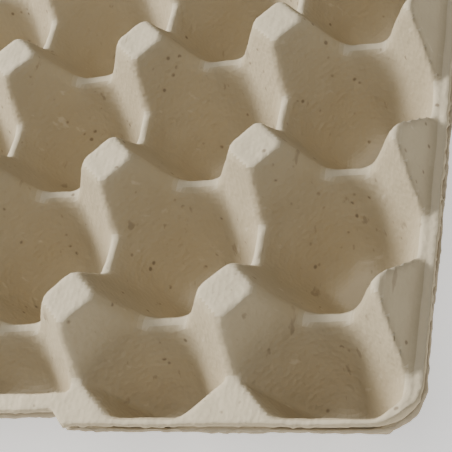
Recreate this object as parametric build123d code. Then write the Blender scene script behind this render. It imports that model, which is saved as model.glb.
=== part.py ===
from build123d import *
import math
import os

# A stack of nested egg trays, each moulded from pulp as one sheet: thirty egg cups in six columns and five
# rows, four-way posts between them, half posts along the two side rims, and shallow end pockets that carry
# the sheet out to the front and back rims. Millimetres, +Z up. The origin is the middle of the footprint,
# on the plane that the cups' feet rest on. X runs across the columns and Y along them.

# --- Driving dimensions ---
TRAYS = 2  # trays nested in the stack
NEST_PITCH = 3.2  # each tray sits this far above the one below
NEST_GAP = 0.3  # clearance left between two trays, measured upwards
COLUMNS = 6  # cups across
ROWS = 5  # cups along
CELL_X = 48.0  # cup spacing across
CELL_Y = 48.6  # cup spacing along
TRAY_HEIGHT = 48.0  # from the feet to the post tops
POST_HEIGHT = 16.0  # post tops above the rim
WALL_DRAFT = 0.4  # how far a wall leans out for each millimetre it rises
POST_HALF_DIAGONAL = 6.65  # middle of a post top to each slanted face
RIDGE_HALF_X = 1.7  # half width of the flat ridge between cups in a column
RIDGE_HALF_Y = 1.1  # half width of the flat ridge between cups in a row
SIDE_RIM = 3.5  # the side rims reach this far past the outer post lines
SIDE_FACE_TOP = 5.0  # a half post's outer face starts this far inside the post line
SIDE_FACE_FOOT = 0.5  # and meets the rim this far outside it
END_RIM = 31.2  # the end rims lie this far past the outer post rows
END_WALL = 29.5  # an end pocket's outer wall, past the outer post row
END_SPREAD = 13.2  # half width of the flat land between two end pockets
GRIP_DEPTH = 4.8  # how far the end rims step in over the two middle columns
GRIP_WALL = 21.7  # outer wall of the end pockets behind that step
GRIP_POCKET_DEPTH = 19.0  # these two pockets are shallower than the cups
CORNER_RADIUS = 13.0
CORNER_POCKET_CUT = 5.5  # leg of the slanted corner of a corner pocket
RIM_EDGE_THICK = 1.8  # the sheet is pressed thinner along its outer edge
RIM_EDGE_WIDTH = 1.4

# --- Worked out from them ---
SHEET = NEST_PITCH - NEST_GAP  # sheet thickness, measured upwards
RIM_Z = TRAY_HEIGHT - POST_HEIGHT
CUP_FLOOR_Z = SHEET
GROUND_Z = -3 * SHEET  # bottom of the blocks that the sheet is cut from
CLEAR = 5.0  # how far cutting blocks reach past what they cut
HALF_X = COLUMNS * CELL_X / 2 + SIDE_RIM
POST_ROW_Y = ROWS * CELL_Y / 2
HALF_Y = POST_ROW_Y + END_RIM
HALF_ROOT = math.sqrt(0.5)
CELL_DIAGONAL = (CELL_X + CELL_Y) / 2 * HALF_ROOT
RAMP = WALL_DRAFT / HALF_ROOT  # lean of the ridges as they climb to a post
POST_END_X = POST_HALF_DIAGONAL / HALF_ROOT - RIDGE_HALF_X
POST_END_Y = POST_HALF_DIAGONAL / HALF_ROOT - RIDGE_HALF_Y
CUP_HALF_X = CELL_X / 2 - RIDGE_HALF_Y
CUP_HALF_Y = CELL_Y / 2 - RIDGE_HALF_X
CUP_DIAGONAL = CELL_DIAGONAL - POST_HALF_DIAGONAL - WALL_DRAFT * POST_HEIGHT

EAST, NORTH, WEST, SOUTH = 0, 90, 180, 270
NORTH_EAST, NORTH_WEST, SOUTH_WEST, SOUTH_EAST = 45, 135, 225, 315


def pocket(walls, floor_z):
    """The hollow between leaning walls. Each wall is its heading in degrees and its distance at rim height."""
    reach = CELL_X + CELL_Y
    top = TRAY_HEIGHT + CLEAR
    hollow = Pos(0, 0, (floor_z + top) / 2) * Box(2 * reach, 2 * reach, top - floor_z)
    for heading, distance in walls.items():
        outward = Vector(1, 0, 0).rotate(Axis.Z, heading)
        foot = outward * distance + Vector(0, 0, RIM_Z)
        hollow = split(hollow, Plane(origin=foot, z_dir=outward - Vector(0, 0, WALL_DRAFT)), keep=Keep.BOTTOM)
    return hollow


def egg_cup():
    """A cup's hollow, about the middle of its cell."""
    walls = {EAST: CUP_HALF_X, WEST: CUP_HALF_X, NORTH: CUP_HALF_Y, SOUTH: CUP_HALF_Y}
    walls |= {corner: CUP_DIAGONAL for corner in (NORTH_EAST, NORTH_WEST, SOUTH_WEST, SOUTH_EAST)}
    return pocket(walls, CUP_FLOOR_Z)


def end_pocket(outer_wall, spread, floor_z):
    """A pocket past the front post row, about the middle of the cell that a full cup would fill."""
    short = CELL_Y / 2 - outer_wall
    land = (CELL_X / 2 - spread - short) * HALF_ROOT
    walls = {EAST: CUP_HALF_X, WEST: CUP_HALF_X, NORTH: CUP_HALF_Y, SOUTH: -short}
    walls |= {NORTH_EAST: CUP_DIAGONAL, NORTH_WEST: CUP_DIAGONAL, SOUTH_EAST: land, SOUTH_WEST: land}
    return pocket(walls, floor_z)


def corner_pocket():
    """The end pocket at the right-hand front corner, with a small slanted corner of its own."""
    short = CELL_Y / 2 - END_WALL
    walls = {EAST: CUP_HALF_X, WEST: CUP_HALF_X, NORTH: CUP_HALF_Y, SOUTH: -short}
    walls |= {NORTH_EAST: CUP_DIAGONAL, NORTH_WEST: CUP_DIAGONAL}
    walls |= {SOUTH_WEST: (CELL_X / 2 - END_SPREAD - short) * HALF_ROOT}
    walls |= {SOUTH_EAST: (CUP_HALF_X - short - CORNER_POCKET_CUT) * HALF_ROOT}
    return pocket(walls, CUP_FLOOR_Z)


def end_pockets():
    """The row of pockets along the front rim, and its mirror image along the back rim."""
    row_y = -POST_ROW_Y - CELL_Y / 2
    plain = end_pocket(END_WALL, END_SPREAD, CUP_FLOOR_Z)
    grip = end_pocket(GRIP_WALL, RIDGE_HALF_Y, RIM_Z - GRIP_POCKET_DEPTH)
    corner = corner_pocket()
    front = []
    for side in (-1, 1):
        front.append(Pos(side * CELL_X / 2, row_y, 0) * grip)
        front.append(Pos(side * CELL_X * 3 / 2, row_y, 0) * plain)
    placed_corner = Pos(CELL_X * 5 / 2, row_y, 0) * corner
    front.append(placed_corner)
    front.append(mirror(placed_corner, Plane.YZ))
    return front + [mirror(hollow, Plane.XZ) for hollow in front]


def trough(half_width, length):
    """A channel with sloping sides, cut down to rim height. It runs along Y, and its sides climb to the posts."""
    rise = POST_HEIGHT + CLEAR
    spread = half_width + RAMP * rise
    outline = [(-half_width, RIM_Z), (half_width, RIM_Z), (spread, RIM_Z + rise), (-spread, RIM_Z + rise)]
    face = Plane.XZ * make_face(Polyline(*outline, close=True))
    return extrude(face, amount=length / 2, both=True)


def saddles():
    """The channels that part the posts, column from column and row from row."""
    across = trough(CELL_X / 2 - POST_END_X - RAMP * POST_HEIGHT, 2 * (HALF_Y + CLEAR))
    along = Rot(0, 0, 90) * trough(CELL_Y / 2 - POST_END_Y - RAMP * POST_HEIGHT, 2 * (HALF_X + CLEAR))
    cuts = [Pos((column - (COLUMNS - 1) / 2) * CELL_X, 0, 0) * across for column in range(COLUMNS)]
    return cuts + [Pos(0, (row - (ROWS - 1) / 2) * CELL_Y, 0) * along for row in range(ROWS)]


def shoulder(foot, head, length):
    """All that lies outside a leaning face, above rim height. The face runs along Y."""
    lean = (foot - head) / POST_HEIGHT
    rise = POST_HEIGHT + CLEAR
    outer = foot + 2 * CELL_X
    outline = [(foot, RIM_Z), (outer, RIM_Z), (outer, RIM_Z + rise), (foot - lean * rise, RIM_Z + rise)]
    face = Plane.XZ * make_face(Polyline(*outline, close=True))
    return extrude(face, amount=length / 2, both=True)


def rim_clearances():
    """What is cleared above the four rims: the outer faces of the half posts and of the outer post rows."""
    post_x = COLUMNS * CELL_X / 2
    side = shoulder(post_x + SIDE_FACE_FOOT, post_x - SIDE_FACE_TOP, 2 * (HALF_Y + 2 * CELL_Y))
    end_head = POST_ROW_Y + POST_END_Y
    end = Rot(0, 0, 90) * shoulder(end_head + RAMP * POST_HEIGHT, end_head, 2 * (HALF_X + 2 * CELL_X))
    return [side, mirror(side, Plane.YZ), end, mirror(end, Plane.XZ)]


def rim_outline(grow):
    """The tray seen from above, with rounded corners and a shallow step in each end rim for the fingers."""
    grip_half = CELL_X - RIDGE_HALF_Y - GRIP_DEPTH
    face = RectangleRounded(2 * HALF_X, 2 * HALF_Y, CORNER_RADIUS).face()
    step = [(-grip_half - GRIP_DEPTH, HALF_Y), (grip_half + GRIP_DEPTH, HALF_Y)]
    step += [(grip_half, HALF_Y - GRIP_DEPTH), (-grip_half, HALF_Y - GRIP_DEPTH)]
    notch = make_face(Polyline(*step, close=True))
    shape = face - notch - mirror(notch, Plane.XZ)
    if grow:
        shape = offset(shape, amount=grow, kind=Kind.INTERSECTION)
    return shape


def ground(outline):
    """Everything that lies below a tray's upper surface, within an outline."""
    height = TRAY_HEIGHT - GROUND_Z
    block = Pos(0, 0, GROUND_Z) * extrude(outline, amount=height)
    cup = egg_cup()
    cuts = []
    for column in range(COLUMNS):
        for row in range(ROWS):
            x = (column - (COLUMNS - 1) / 2) * CELL_X
            y = (row - (ROWS - 1) / 2) * CELL_Y
            cuts.append(Pos(x, y, 0) * cup)
    cuts += end_pockets()
    cuts += saddles()
    cuts += rim_clearances()
    return block - cuts


def tray():
    """One tray: the sheet between its upper surface and the same surface one sheet thickness lower."""
    sheet = ground(rim_outline(0)) - Pos(0, 0, -SHEET) * ground(rim_outline(CLEAR))
    edge = rim_outline(CLEAR) - rim_outline(-RIM_EDGE_WIDTH)
    thinning = extrude(edge, amount=SHEET)
    return sheet - Pos(0, 0, RIM_Z - RIM_EDGE_THICK - SHEET) * thinning


pulp_tray = tray()
for level in range(TRAYS):
    placed = Pos(0, 0, level * NEST_PITCH) * pulp_tray
    export_step(placed, f"parts/egg_tray_{level + 1}.step")
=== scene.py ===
import logging
import math
from dataclasses import dataclass, field
from enum import Enum

import bmesh
import bpy
import numpy as np
from mathutils import Matrix, Vector, noise


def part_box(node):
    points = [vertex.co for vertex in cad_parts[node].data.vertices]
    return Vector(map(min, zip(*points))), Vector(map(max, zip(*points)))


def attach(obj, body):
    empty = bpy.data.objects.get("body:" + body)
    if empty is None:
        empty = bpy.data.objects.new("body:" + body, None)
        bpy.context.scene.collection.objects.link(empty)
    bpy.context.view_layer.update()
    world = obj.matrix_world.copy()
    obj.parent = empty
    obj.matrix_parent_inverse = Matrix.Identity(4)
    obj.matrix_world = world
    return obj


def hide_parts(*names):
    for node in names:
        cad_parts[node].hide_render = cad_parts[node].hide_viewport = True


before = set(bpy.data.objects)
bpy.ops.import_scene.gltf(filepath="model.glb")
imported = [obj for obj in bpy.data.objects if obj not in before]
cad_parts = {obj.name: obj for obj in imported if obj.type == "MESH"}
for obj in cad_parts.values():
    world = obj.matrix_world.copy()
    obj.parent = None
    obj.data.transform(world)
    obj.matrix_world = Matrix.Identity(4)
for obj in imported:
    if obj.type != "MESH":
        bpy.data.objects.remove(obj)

LOG = logging.getLogger("egg_trays")
MM = 0.001


class Side(Enum):
    """Which face of a tray's sheet carries the fine mesh."""

    UPPER = "upper"
    UNDER = "under"


@dataclass(frozen=True)
class TrayForm:
    """The moulding's shape, in millimetres above the tray's own feet."""

    columns: int = 6
    rows: int = 5
    cell_x: float = 48.0
    cell_y: float = 48.6
    height: float = 48.0
    rim: float = 32.0
    floor: float = 2.9
    sheet: float = 2.9
    draft: float = 0.4
    ridge_x: float = 1.7
    ridge_y: float = 1.1
    post_diagonal: float = 6.65
    side_face_top: float = 5.0
    side_face_foot: float = 0.5
    side_rim: float = 3.5
    end_rim: float = 31.2
    end_wall: float = 29.5
    end_spread: float = 13.2
    grip_depth: float = 4.8
    grip_wall: float = 21.7
    grip_floor: float = 13.0
    corner_radius: float = 13.0
    corner_cut: float = 5.5
    grip_start: float = 14.0

    @property
    def half_x(self) -> float:
        """Half the tray's width."""
        return self.columns * self.cell_x / 2 + self.side_rim

    @property
    def row_y(self) -> float:
        """The outer post rows' distance from the middle."""
        return self.rows * self.cell_y / 2

    @property
    def half_y(self) -> float:
        """Half the tray's length."""
        return self.row_y + self.end_rim

    @property
    def cup_diagonal(self) -> float:
        """From a cup's middle to its slanted walls, at rim height."""
        cell = (self.cell_x + self.cell_y) / 2 * math.sqrt(0.5)
        return cell - self.post_diagonal - self.draft * (self.height - self.rim)


def soft_max(a: np.ndarray, b: np.ndarray, reach: float) -> np.ndarray:
    """The higher of two surfaces, with the crease between them rounded.

    Args:
        a: Heights of the first surface.
        b: Heights of the second.
        reach: Height difference within which they blend.

    Returns:
        The blended heights.
    """
    blend = np.maximum(reach - np.abs(a - b), 0.0) / reach
    return np.maximum(a, b) + blend * blend * reach / 4


def soft_min(a: np.ndarray, b: np.ndarray, reach: float) -> np.ndarray:
    """The lower of two surfaces, with the edge between them rounded.

    Args:
        a: Heights of the first surface.
        b: Heights of the second.
        reach: Height difference within which they blend.

    Returns:
        The blended heights.
    """
    return -soft_max(-a, -b, reach)


@dataclass(frozen=True)
class Moulding:
    """The tray's upper surface as a height over the plan, with its edges softened as pulp is."""

    form: TrayForm = field(default_factory=TrayForm)
    wall_blend: float = 8.0
    floor_blend: float = 12.0
    ridge_blend: float = 1.5
    crown_blend: float = 1.7
    foot_blend: float = 2.2
    clear_above: float = 40.0

    def wall(self, reach: np.ndarray, distance: np.ndarray | float) -> np.ndarray:
        """Height of a leaning wall that stands at distance from a hollow's middle at rim height."""
        return self.form.rim + (reach - distance) / self.form.draft

    def hollow(self, across: np.ndarray, along: np.ndarray, outward: np.ndarray, x: np.ndarray) -> np.ndarray:
        """The bowl of a cup, or of an end pocket past the outer post rows.

        Args:
            across: Distance from the cell's middle along X.
            along: Distance from the cell's middle along Y, in a full cup.
            outward: Distance past the outer post row, negative inside it.
            x: Place along X.

        Returns:
            Heights of the bowl's surface.
        """
        f = self.form
        root = math.sqrt(0.5)
        past = outward > 0
        toward = np.where(past, f.cell_y / 2 - outward, along)
        side = self.wall(across, f.cell_x / 2 - f.ridge_y)
        back = self.wall(toward, f.cell_y / 2 - f.ridge_x)
        slant = self.wall((across + toward) * root, f.cup_diagonal)
        bowl = soft_max(soft_max(side, slant, self.wall_blend), back, self.wall_blend)
        grip = past & (np.abs(x) < f.cell_x)
        wall = np.where(grip, f.grip_wall, f.end_wall)
        spread = np.where(grip, f.ridge_y, f.end_spread)
        short = f.cell_y / 2 - wall
        land = (f.cell_x / 2 - spread - short) * root
        corner = past & (np.abs(x) > f.cell_x * (f.columns / 2 - 0.5))
        land = np.where(corner, (f.cell_x / 2 - f.ridge_y - short - f.corner_cut) * root, land)
        front = self.wall(-toward, -short)
        front_slant = self.wall((across - toward) * root, land)
        pocket = soft_max(soft_max(bowl, front, self.wall_blend / 2), front_slant, self.wall_blend / 2)
        bowl = np.where(past, pocket, bowl)
        floor = np.where(grip, f.grip_floor, f.floor)
        return soft_max(bowl, floor, self.floor_blend)

    def height(self, x: np.ndarray, y: np.ndarray) -> np.ndarray:
        """Heights of the upper surface.

        Args:
            x: Places along X, in millimetres.
            y: Places along Y, in millimetres.

        Returns:
            Heights above the tray's feet, in millimetres.
        """
        f = self.form
        rise = f.height - f.rim
        lean = f.draft / math.sqrt(0.5)
        from_post_x = np.abs(x - f.cell_x * np.round(x / f.cell_x))
        from_post_y = np.abs((y + f.cell_y / 2) - f.cell_y * np.round((y + f.cell_y / 2) / f.cell_y))
        outward = np.abs(y) - f.row_y
        from_post_y = np.where(outward > 0, outward, from_post_y)
        along = f.cell_y / 2 - from_post_y
        foot_x = f.post_diagonal / math.sqrt(0.5) - f.ridge_x + lean * rise
        foot_y = f.post_diagonal / math.sqrt(0.5) - f.ridge_y + lean * rise
        flat = np.full_like(x, f.rim)
        across_saddle = soft_max(f.rim + (foot_x - from_post_x) / lean, flat, self.foot_blend)
        along_saddle = soft_max(f.rim + (foot_y - from_post_y) / lean, flat, self.foot_blend)
        surface = soft_min(across_saddle, along_saddle, self.ridge_blend)
        surface = soft_min(surface, np.full_like(x, f.height), self.crown_blend)
        bowl = self.hollow(f.cell_x / 2 - from_post_x, along, outward, x)
        outer_post = f.columns * f.cell_x / 2
        bowl = np.where(np.abs(x) > outer_post, f.height + self.clear_above, bowl)
        surface = soft_min(surface, bowl, self.ridge_blend)
        run = (f.side_face_top + f.side_face_foot) / rise
        shoulder = f.rim + (outer_post + f.side_face_foot - np.abs(x)) / run
        shoulder = soft_max(shoulder, flat, self.foot_blend)
        return soft_min(surface, shoulder, self.crown_blend)


@dataclass(frozen=True)
class Unevenness:
    """How far moulded pulp strays from its true shape, in millimetres: the size of a wave, then its reach."""

    wave_size: float = 9.0
    wave_side: float = 0.32
    wave_up: float = 0.30
    ripple_size: float = 2.6
    ripple_side: float = 0.12
    ripple_up: float = 0.14
    still_rim: float = 3.0
    warp_size: float = 70.0
    warp_side: float = 0.7
    warp_up: float = 0.35
    fray_sizes: tuple[float, float, float] = (22.0, 3.4, 1.3)
    fray_reach: tuple[float, float, float] = (1.1, 0.55, 0.25)
    torn_size: float = 1.6
    torn_reach: float = 0.28
    torn_share: float = 0.25


@dataclass
class Tray:
    """One moulded tray: a fine visible face, a plainer hidden face, and the rough edge that joins them."""

    name: str
    node: str
    slot: str
    fine: Side
    seed: float
    lift: float
    rim_wander: float
    moulding: Moulding = field(default_factory=Moulding)
    fine_steps: int = 42
    plain_steps: int = 16
    edge_thick: float = 1.8
    edge_taper: float = 2.5
    edge_rings: tuple[tuple[float, float], ...] = ((0.22, 0.28), (0.34, 0.10), (0.30, -0.12))
    uneven: Unevenness = field(default_factory=Unevenness)

    def plan(self, steps: int) -> bmesh.types.BMesh:
        """A flat grid in the tray's outline, with its corners rounded and its grips stepped in.

        Args:
            steps: Grid steps in one cell.

        Returns:
            The grid, in millimetres.
        """
        f = self.moulding.form
        side = max(2, round(f.side_rim * steps / f.cell_x))
        end = round(f.end_rim * steps / f.cell_y)
        count_x = f.columns * steps + 2 * side
        count_y = f.rows * steps + 2 * end
        bm = bmesh.new()
        bmesh.ops.create_grid(bm, x_segments=count_x, y_segments=count_y, size=1.0)
        for vert in bm.verts:
            u = vert.co.x * count_x / 2
            v = vert.co.y * count_y / 2
            vert.co.x = self.spread(u, f.columns * steps / 2, side, f.cell_x / steps, f.side_rim)
            vert.co.y = self.spread(v, f.rows * steps / 2, end, f.cell_y / steps, f.end_rim)
            self.fit_outline(vert.co)
        return bm

    @staticmethod
    def spread(place: float, inner: float, outer: int, step: float, rim: float) -> float:
        """A grid line's distance: even steps over the cells, then even steps out to the rim."""
        past = max(abs(place) - inner, 0.0)
        return math.copysign(min(abs(place), inner) * step + past / outer * rim, place)

    def fit_outline(self, co: Vector) -> None:
        """Draws a corner in to its radius and an end rim in over the grip.

        Args:
            co: A grid point, moved in place.
        """
        f = self.moulding.form
        reach = f.cell_x - f.ridge_y
        step = min(max((reach - abs(co.x)) / f.grip_depth, 0.0), 1.0) * f.grip_depth
        start = f.row_y + f.grip_start
        if abs(co.y) > start:
            share = (abs(co.y) - start) / (f.half_y - start)
            co.y -= math.copysign(share * step, co.y)
        radius = f.corner_radius
        in_x = abs(co.x) - (f.half_x - radius)
        in_y = abs(co.y) - (f.half_y - radius)
        if in_x > 0 and in_y > 0:
            round_x = in_x * math.sqrt(1 - in_y * in_y / (2 * radius * radius))
            round_y = in_y * math.sqrt(1 - in_x * in_x / (2 * radius * radius))
            co.x -= math.copysign(in_x - round_x, co.x)
            co.y -= math.copysign(in_y - round_y, co.y)

    def sheet(self, steps: int, face: Side, detailed: bool) -> bmesh.types.BMesh:
        """One face of the sheet, raised from the plan.

        Args:
            steps: Grid steps in one cell.
            face: The upper face or the under face.
            detailed: Whether the face shows, and gets the pulp's unevenness.

        Returns:
            The face's mesh, in millimetres above the tray's feet.
        """
        bm = self.plan(steps)
        f = self.moulding.form
        xs = np.array([vert.co.x for vert in bm.verts])
        ys = np.array([vert.co.y for vert in bm.verts])
        heights = self.moulding.height(xs, ys)
        for vert, height in zip(bm.verts, heights):
            vert.co.z = float(height)
            edge = self.edge_distance(vert.co)
            if face is Side.UNDER:
                vert.co.z -= self.edge_thick + (f.sheet - self.edge_thick) * min(edge / self.edge_taper, 1.0)
            if detailed:
                self.unsettle(vert.co, edge)
            self.warp(vert.co)
        return bm

    def edge_distance(self, co: Vector) -> float:
        """How far a point lies inside the nearest straight rim."""
        f = self.moulding.form
        return min(f.half_x - abs(co.x), f.half_y - abs(co.y))

    def unsettle(self, co: Vector, edge: float) -> None:
        """Gives a point the small unevenness of moulded pulp.

        Args:
            co: The point, moved in place.
            edge: Its distance from the rim.
        """
        u = self.uneven
        wave = noise.noise_vector(Vector((co.x, co.y, co.z)) / u.wave_size + Vector((self.seed, 0, 0)))
        ripple = noise.noise_vector(Vector((co.x, co.y, co.z)) / u.ripple_size + Vector((0, self.seed, 0)))
        hold = min(edge / u.still_rim, 1.0)
        co.x += (wave.x * u.wave_side + ripple.x * u.ripple_side) * hold
        co.y += (wave.y * u.wave_side + ripple.y * u.ripple_side) * hold
        co.z += wave.z * u.wave_up + ripple.z * u.ripple_up

    def warp(self, co: Vector) -> None:
        """Bends both trays alike, as damp pulp warps when it dries."""
        u = self.uneven
        slow = noise.noise_vector(Vector((co.x, co.y, 0.0)) / u.warp_size + Vector((3.0, 8.0, 1.0)))
        co.x += slow.x * u.warp_side
        co.y += slow.y * u.warp_side
        co.z += slow.z * u.warp_up * min(max(co.z / self.moulding.form.rim, 0.0), 1.0)

    def fray(self, rim: list[bmesh.types.BMVert]) -> None:
        """Frays a loop of rim points outwards and inwards.

        Args:
            rim: The loop's points.
        """
        u = self.uneven
        for vert in rim:
            place = Vector((vert.co.x, vert.co.y, self.seed * 7))
            slow, quick, fine = (noise.noise(place / size) for size in u.fray_sizes)
            slow_reach, quick_reach, fine_reach = u.fray_reach
            out = Vector((vert.co.x, vert.co.y, 0)).normalized()
            reach = slow * slow_reach + quick * quick_reach + fine * fine_reach
            vert.co += out * reach * self.rim_wander

    def build(self) -> bpy.types.Object:
        """Models the tray.

        Returns:
            The tray's object, standing in for its CAD node.
        """
        hidden = Side.UNDER if self.fine is Side.UPPER else Side.UPPER
        bm = self.sheet(self.fine_steps, self.fine, True)
        down = -1.0 if self.fine is Side.UPPER else 1.0
        rim_edges = [edge for edge in bm.edges if edge.is_boundary]
        rim = list({vert for edge in rim_edges for vert in edge.verts})
        self.fray(rim)
        loop = rim_edges
        for share, out in self.edge_rings:
            grown = bmesh.ops.extrude_edge_only(bm, edges=loop)["geom"]
            verts = [item for item in grown if isinstance(item, bmesh.types.BMVert)]
            loop = [item for item in grown if isinstance(item, bmesh.types.BMEdge) and item.is_boundary]
            for vert in verts:
                away = Vector((vert.co.x, vert.co.y, 0)).normalized()
                grain = noise.noise(vert.co / self.uneven.torn_size + Vector((self.seed, 0, 0)))
                vert.co += away * (out + self.uneven.torn_reach * grain)
                vert.co.z += down * self.edge_thick * share * (1.0 + self.uneven.torn_share * grain)
        plain = self.sheet(self.plain_steps, hidden, False)
        shell = bpy.data.meshes.new("plain_face")
        plain.to_mesh(shell)
        plain.free()
        bm.from_mesh(shell)
        bpy.data.meshes.remove(shell)
        open_edges = [edge for edge in bm.edges if edge.is_boundary]
        bmesh.ops.bridge_loops(bm, edges=open_edges)
        bmesh.ops.recalc_face_normals(bm, faces=bm.faces)
        bmesh.ops.scale(bm, vec=(MM, MM, MM), verts=bm.verts)
        bmesh.ops.translate(bm, vec=(0, 0, self.lift), verts=bm.verts)
        return self.finish_object(bm)

    def finish_object(self, bm: bmesh.types.BMesh) -> bpy.types.Object:
        """Turns the mesh into an object that rides with the frame.

        Args:
            bm: The finished mesh, in metres.

        Returns:
            The object.
        """
        mesh = bpy.data.meshes.new(self.name)
        bm.to_mesh(mesh)
        bm.free()
        mesh.shade_smooth()
        tray = bpy.data.objects.new(self.name, mesh)
        bpy.context.scene.collection.objects.link(tray)
        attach(tray, "root")
        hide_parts(self.node)
        return tray


def group_socket(
    group: bpy.types.NodeTree, name: str, way: str, kind: str, value: float | None = None
) -> None:
    """Adds a named socket to a node group.

    Args:
        group: The group.
        name: The socket's name.
        way: INPUT or OUTPUT.
        kind: The socket's type.
        value: Its default, if it has one.
    """
    socket = group.interface.new_socket(name=name, in_out=way, socket_type=kind)
    if value is not None:
        socket.default_value = value


@dataclass(frozen=True)
class PulpGrain:
    """The node groups that every pulp finish shares: flecks and fibres, and the surface's relief."""

    def noise_node(self, tree: bpy.types.NodeTree, vector: bpy.types.NodeSocket, scale: float,
                   detail: float, stretch: tuple[float, float, float] = (1, 1, 1)) -> bpy.types.NodeSocket:
        """A noise pattern in object space.

        Args:
            tree: The node tree.
            vector: The coordinates.
            scale: Noise cells for each metre.
            detail: Octaves.
            stretch: How the pattern is scaled along each axis first.

        Returns:
            The pattern's value.
        """
        mapping = tree.nodes.new("ShaderNodeMapping")
        mapping.inputs["Scale"].default_value = stretch
        tree.links.new(vector, mapping.inputs["Vector"])
        pattern = tree.nodes.new("ShaderNodeTexNoise")
        pattern.inputs["Scale"].default_value = scale
        pattern.inputs["Detail"].default_value = detail
        tree.links.new(mapping.outputs[0], pattern.inputs["Vector"])
        return pattern.outputs["Fac"]

    def ramp(self, tree: bpy.types.NodeTree, value: bpy.types.NodeSocket, low: float, high: float,
             to_low: float = 0.0, to_high: float = 1.0) -> bpy.types.NodeSocket:
        """A smooth step of a value.

        Args:
            tree: The node tree.
            value: What is stepped.
            low: Where the step starts.
            high: Where it ends.
            to_low: The result below low.
            to_high: The result above high.

        Returns:
            The stepped value.
        """
        step = tree.nodes.new("ShaderNodeMapRange")
        step.interpolation_type = "SMOOTHSTEP"
        step.inputs["From Min"].default_value = low
        step.inputs["From Max"].default_value = high
        step.inputs["To Min"].default_value = to_low
        step.inputs["To Max"].default_value = to_high
        tree.links.new(value, step.inputs["Value"])
        return step.outputs["Result"]

    def math(self, tree: bpy.types.NodeTree, operation: str, a: bpy.types.NodeSocket,
             b: bpy.types.NodeSocket | float) -> bpy.types.NodeSocket:
        """One sum on two values.

        Args:
            tree: The node tree.
            operation: The sum's name.
            a: The first value.
            b: The second value, or a number.

        Returns:
            The result.
        """
        node = tree.nodes.new("ShaderNodeMath")
        node.operation = operation
        tree.links.new(a, node.inputs[0])
        if isinstance(b, bpy.types.NodeSocket):
            tree.links.new(b, node.inputs[1])
        else:
            node.inputs[1].default_value = b
        return node.outputs[0]

    def flecks(self) -> bpy.types.NodeTree:
        """Builds the group of masks: dark flecks, pale fibres and blotches of colour.

        Returns:
            The node group.
        """
        tree = bpy.data.node_groups.new("pulp_flecks", "ShaderNodeTree")
        group_socket(tree, "Vector", "INPUT", "NodeSocketVector")
        for name in ("Dark flecks", "Pale fibres", "Blotches"):
            group_socket(tree, name, "OUTPUT", "NodeSocketFloat")
        start = tree.nodes.new("NodeGroupInput")
        end = tree.nodes.new("NodeGroupOutput")
        vector = start.outputs["Vector"]
        specks = tree.nodes.new("ShaderNodeTexVoronoi")
        specks.inputs["Scale"].default_value = 260
        tree.links.new(vector, specks.inputs["Vector"])
        near = self.ramp(tree, specks.outputs["Distance"], 0.10, 0.24, 1.0, 0.0)
        rare = self.ramp(tree, self.noise_node(tree, vector, 190, 2), 0.56, 0.64)
        threads = self.ramp(tree, self.noise_node(tree, vector, 330, 3, (1.0, 0.16, 0.5)), 0.67, 0.74)
        strands = self.ramp(tree, self.noise_node(tree, vector, 330, 3, (0.16, 1.0, 0.5)), 0.66, 0.76)
        dots = self.math(tree, "MULTIPLY", near, rare)
        thin = self.math(tree, "MULTIPLY", threads, 0.55)
        dark = self.math(tree, "MAXIMUM", dots, thin)
        tree.links.new(dark, end.inputs["Dark flecks"])
        tree.links.new(strands, end.inputs["Pale fibres"])
        clouds = self.ramp(tree, self.noise_node(tree, vector, 34, 5), 0.32, 0.68)
        tree.links.new(clouds, end.inputs["Blotches"])
        return tree

    def relief(self) -> bpy.types.NodeTree:
        """Builds the group for the surface's height: grain, lumps, fibres and the forming screen's weave.

        Returns:
            The node group.
        """
        tree = bpy.data.node_groups.new("pulp_relief", "ShaderNodeTree")
        group_socket(tree, "Vector", "INPUT", "NodeSocketVector")
        group_socket(tree, "Screen", "INPUT", "NodeSocketFloat", 0.4)
        group_socket(tree, "Height", "OUTPUT", "NodeSocketFloat")
        start = tree.nodes.new("NodeGroupInput")
        end = tree.nodes.new("NodeGroupOutput")
        vector = start.outputs["Vector"]
        grain = self.noise_node(tree, vector, 620, 4)
        lumps = self.noise_node(tree, vector, 170, 3)
        fibres = self.noise_node(tree, vector, 420, 2, (1.0, 0.22, 0.6))
        total = self.math(tree, "MULTIPLY", grain, 0.55)
        total = self.math(tree, "ADD", total, self.math(tree, "MULTIPLY", lumps, 1.1))
        total = self.math(tree, "ADD", total, self.math(tree, "MULTIPLY", fibres, 0.5))
        weave = tree.nodes.new("ShaderNodeTexVoronoi")
        weave.inputs["Scale"].default_value = 560
        weave.inputs["Randomness"].default_value = 0.55
        tree.links.new(vector, weave.inputs["Vector"])
        screen = self.math(tree, "MULTIPLY", weave.outputs["Distance"], start.outputs["Screen"])
        tree.links.new(self.math(tree, "ADD", total, screen), end.inputs["Height"])
        return tree


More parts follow.
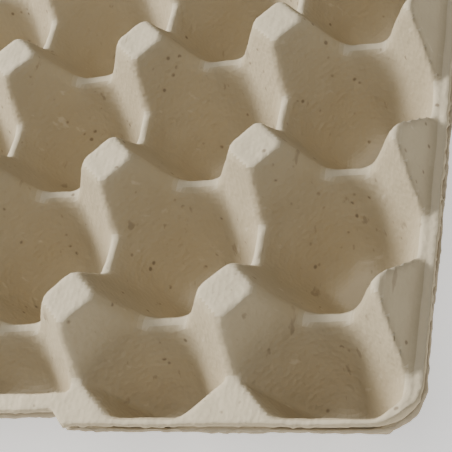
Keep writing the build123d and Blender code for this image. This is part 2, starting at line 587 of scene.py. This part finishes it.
@dataclass(frozen=True)
class PulpFinish:
    """Moulded pulp of recycled paper."""

    name: str
    base: tuple[float, float, float]
    # The paler colour: the pale fibres' own colour, and painted highlight on faces turned up or down.
    pale_fibre_and_highlight: tuple[float, float, float]
    damp: tuple[float, float, float]
    fleck: tuple[float, float, float] = (0.16, 0.115, 0.070)
    roughness: float = 0.93
    bump: float = 0.55
    screen: float = 0.5
    bump_depth: float = 0.0006
    shine: float = 0.18
    blotch_share: float = 0.45
    # How far faces turned up or down take the paler colour: painted highlight.
    highlight_share: float = 0.75
    fibre_share: float = 0.5
    fleck_share: float = 0.7

    def mix(self, tree: bpy.types.NodeTree, factor: bpy.types.NodeSocket, first: bpy.types.NodeSocket,
            second: tuple[float, float, float]) -> bpy.types.NodeSocket:
        """Lays a second colour over the first where the mask says.

        Args:
            tree: The node tree.
            factor: The mask.
            first: The colour below.
            second: The colour above.

        Returns:
            The mixed colour.
        """
        node = tree.nodes.new("ShaderNodeMix")
        node.data_type = "RGBA"
        tree.links.new(factor, node.inputs["Factor"])
        tree.links.new(first, node.inputs["A"])
        node.inputs["B"].default_value = (*second, 1)
        return node.outputs["Result"]

    def make(
        self, grain: PulpGrain, flecks: bpy.types.NodeTree, relief: bpy.types.NodeTree
    ) -> bpy.types.Material:
        """Builds the material.

        Args:
            grain: Helpers that the groups were built with.
            flecks: The group of colour masks.
            relief: The group of surface height.

        Returns:
            The material.
        """
        material = bpy.data.materials.new(self.name)
        material.use_nodes = True
        tree = material.node_tree
        shader = tree.nodes["Principled BSDF"]
        place = tree.nodes.new("ShaderNodeTexCoord").outputs["Object"]
        masks = tree.nodes.new("ShaderNodeGroup")
        masks.node_tree = flecks
        tree.links.new(place, masks.inputs["Vector"])
        ground = tree.nodes.new("ShaderNodeMix")
        ground.data_type = "RGBA"
        ground.inputs["A"].default_value = (*self.base, 1)
        ground.inputs["B"].default_value = (*self.damp, 1)
        blotch = grain.math(tree, "MULTIPLY", masks.outputs["Blotches"], self.blotch_share)
        tree.links.new(blotch, ground.inputs["Factor"])
        geometry = tree.nodes.new("ShaderNodeNewGeometry")
        parts = tree.nodes.new("ShaderNodeSeparateXYZ")
        tree.links.new(geometry.outputs["True Normal"], parts.inputs[0])
        # Painted highlight: faces near horizontal, as lit tops are, are lightened towards the paler colour.
        upright = grain.math(tree, "ABSOLUTE", parts.outputs["Z"], 0.0)
        level = grain.ramp(tree, upright, 0.55, 0.95, 0.0, self.highlight_share)
        colour = self.mix(tree, level, ground.outputs["Result"], self.pale_fibre_and_highlight)
        pale = grain.math(tree, "MULTIPLY", masks.outputs["Pale fibres"], self.fibre_share)
        colour = self.mix(tree, pale, colour, self.pale_fibre_and_highlight)
        dark = grain.math(tree, "MULTIPLY", masks.outputs["Dark flecks"], self.fleck_share)
        colour = self.mix(tree, dark, colour, self.fleck)
        tree.links.new(colour, shader.inputs["Base Color"])
        shader.inputs["Roughness"].default_value = self.roughness
        shader.inputs["Specular IOR Level"].default_value = self.shine
        height = tree.nodes.new("ShaderNodeGroup")
        height.node_tree = relief
        height.inputs["Screen"].default_value = self.screen
        tree.links.new(place, height.inputs["Vector"])
        bump = tree.nodes.new("ShaderNodeBump")
        bump.inputs["Strength"].default_value = self.bump
        bump.inputs["Distance"].default_value = self.bump_depth
        tree.links.new(height.outputs["Height"], bump.inputs["Height"])
        tree.links.new(bump.outputs["Normal"], shader.inputs["Normal"])
        return material


@dataclass(frozen=True)
class Studio:
    """The floor, the light and the camera."""

    camera_at: tuple[float, float, float] = (0.2182, -0.2800, 0.3006)
    forward: tuple[float, float, float] = (-0.3783, 0.5403, -0.7517)
    roll: float = -31.5
    lens: float = 95.8
    floor_reach: float = 6.0
    floor_drop: float = 0.0002
    floor_glow: float = 0.75
    surround_strength: float = 0.26

    def floor(self) -> None:
        """Lays a plain pale floor, lit softly from below as a light table is."""
        bm = bmesh.new()
        bmesh.ops.create_grid(bm, x_segments=2, y_segments=2, size=self.floor_reach)
        bmesh.ops.translate(bm, vec=(0, 0, -self.floor_drop), verts=bm.verts)
        mesh = bpy.data.meshes.new("floor")
        bm.to_mesh(mesh)
        bm.free()
        floor = bpy.data.objects.new("floor", mesh)
        bpy.context.scene.collection.objects.link(floor)
        paint = bpy.data.materials.new("pale_floor")
        paint.use_nodes = True
        shader = paint.node_tree.nodes["Principled BSDF"]
        shader.inputs["Base Color"].default_value = (0.92, 0.92, 0.92, 1)
        shader.inputs["Roughness"].default_value = 0.9
        shader.inputs["Emission Color"].default_value = (1, 1, 1, 1)
        shader.inputs["Emission Strength"].default_value = self.floor_glow
        mesh.materials.append(paint)

    def lamp(self, name: str, at: tuple[float, float, float], size: float, power: float) -> None:
        """Adds a soft square lamp that faces the trays.

        Args:
            name: The lamp's name.
            at: Where it stands.
            size: Its side.
            power: Its power in watts.
        """
        light = bpy.data.lights.new(name, "AREA")
        light.size = size
        light.energy = power
        lamp = bpy.data.objects.new(name, light)
        lamp.location = at
        lamp.rotation_mode = "QUATERNION"
        lamp.rotation_quaternion = (-Vector(at)).to_track_quat("-Z", "Y")
        bpy.context.scene.collection.objects.link(lamp)

    def light(self) -> None:
        """Lights the stack from above and from its far left side, with a pale surround."""
        world = bpy.data.worlds.new("surround")
        world.use_nodes = True
        world.node_tree.nodes["Background"].inputs["Color"].default_value = (1, 1, 1, 1)
        world.node_tree.nodes["Background"].inputs["Strength"].default_value = self.surround_strength
        bpy.context.scene.world = world
        self.lamp("key", (-1.15, 0.10, 0.95), 0.5, 44)
        self.lamp("fill", (0.1, -0.5, 1.5), 1.2, 9)

    def camera(self) -> None:
        """Places the camera."""
        data = bpy.data.cameras.new("camera")
        data.lens = self.lens
        data.clip_start = 0.01
        camera = bpy.data.objects.new("camera", data)
        camera.rotation_mode = "QUATERNION"
        look = Vector(self.forward).to_track_quat("-Z", "Y")
        camera.rotation_quaternion = look @ Matrix.Rotation(math.radians(self.roll), 3, "Z").to_quaternion()
        camera.location = self.camera_at
        bpy.context.scene.collection.objects.link(camera)
        bpy.context.scene.camera = camera


def main() -> None:
    """Builds the stack and its studio, and reports each piece."""
    logging.basicConfig(level=logging.INFO, format="%(message)s")
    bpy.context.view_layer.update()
    studio = Studio()
    studio.camera()
    studio.light()
    studio.floor()
    grain = PulpGrain()
    flecks, relief = grain.flecks(), grain.relief()
    lower_low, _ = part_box("egg_tray_1")
    upper_low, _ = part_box("egg_tray_2")
    trays = [
        # The lower tray's colours are a darker copy of the upper tray's: painted shade, for the upper tray's
        # shadow on it.
        (Tray("lower_tray", "egg_tray_1", "pulp_lower", Side.UNDER, 4.0, lower_low[2], 0.7),
         PulpFinish("lower_pulp_shaded", (0.42, 0.345, 0.230), (0.56, 0.48, 0.35), (0.33, 0.26, 0.165))),
        (Tray("upper_tray", "egg_tray_2", "pulp_upper", Side.UPPER, 1.0, upper_low[2], 0.5),
         PulpFinish("upper_pulp", (0.47, 0.390, 0.255), (0.61, 0.525, 0.37), (0.39, 0.318, 0.200))),
    ]
    for tray, finish in trays:
        made = tray.build()
        made.data.materials.append(finish.make(grain, flecks, relief))
        LOG.info("%s: %d faces", made.name, len(made.data.polygons))


if __name__ == "__main__":
    main()
